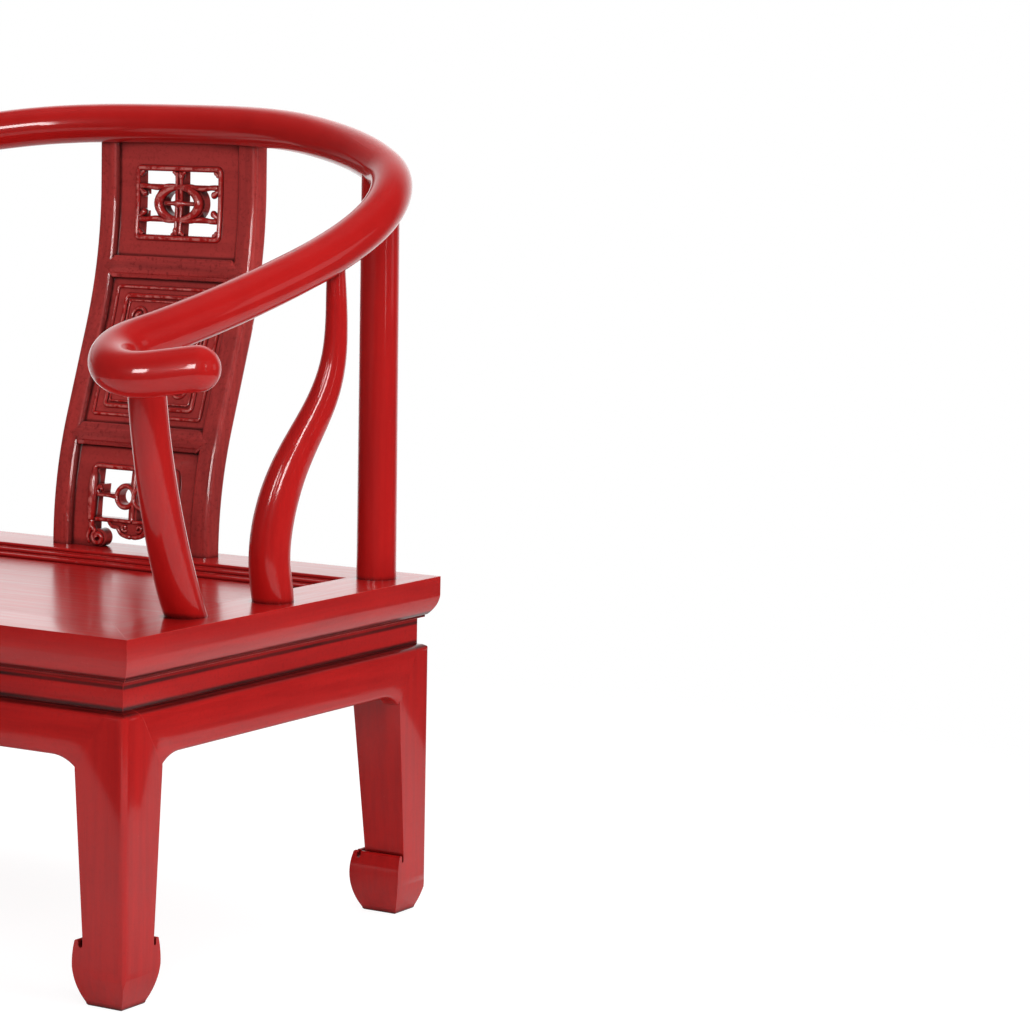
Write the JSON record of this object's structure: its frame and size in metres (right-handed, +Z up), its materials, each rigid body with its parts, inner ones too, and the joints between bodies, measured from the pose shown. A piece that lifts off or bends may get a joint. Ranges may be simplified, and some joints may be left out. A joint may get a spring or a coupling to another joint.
{
  "type": "low armchair",
  "caption": "Low horseshoe-back armchair in red lacquered wood: round crest rail running into out-curved grips, S-shaped openwork splat, framed seat and legs on hoof feet.",
  "frame": {"origin": "on the floor, in the middle of the chair's overall box", "axes": "+X to the right of the chair as seen from in front, the sitter faces -Y, +Z up"},
  "size_m": [0.8912, 0.6081, 0.8055],
  "materials": {
    "red_lacquer": "gloss",
    "splat_lacquer": "gloss",
    "under_wood": "matte",
    "pin_wood": "satin"
  },
  "bodies": {
    "root": {"apron_back": "red_lacquer", "apron_front": "red_lacquer", "apron_left": "red_lacquer", "apron_right": "red_lacquer", "back_post_left": "red_lacquer", "back_post_right": "red_lacquer", "batten_left": "under_wood", "batten_right": "under_wood", "crest_arm_left": "red_lacquer", "crest_arm_right": "red_lacquer", "crest_middle": "red_lacquer", "crest_shoulder_left": "red_lacquer", "crest_shoulder_right": "red_lacquer", "front_post_left": "red_lacquer", "front_post_right": "red_lacquer", "leg_back_left": "red_lacquer", "leg_back_right": "red_lacquer", "leg_front_left": "red_lacquer", "leg_front_right": "red_lacquer", "scarf_pins": "pin_wood", "seat_panel": "red_lacquer", "seat_rail_back": "red_lacquer", "seat_rail_front": "red_lacquer", "seat_rail_left": "red_lacquer", "seat_rail_right": "red_lacquer", "side_post_left": "red_lacquer", "side_post_right": "red_lacquer", "splat_bottom_panel": "splat_lacquer", "splat_high_rail": "splat_lacquer", "splat_low_rail": "splat_lacquer", "splat_middle_panel": "splat_lacquer", "splat_stile_left": "splat_lacquer", "splat_stile_right": "splat_lacquer", "splat_top_panel": "splat_lacquer", "waist_back": "red_lacquer", "waist_front": "red_lacquer", "waist_left": "red_lacquer", "waist_right": "red_lacquer"}
  },
  "joints": []
}
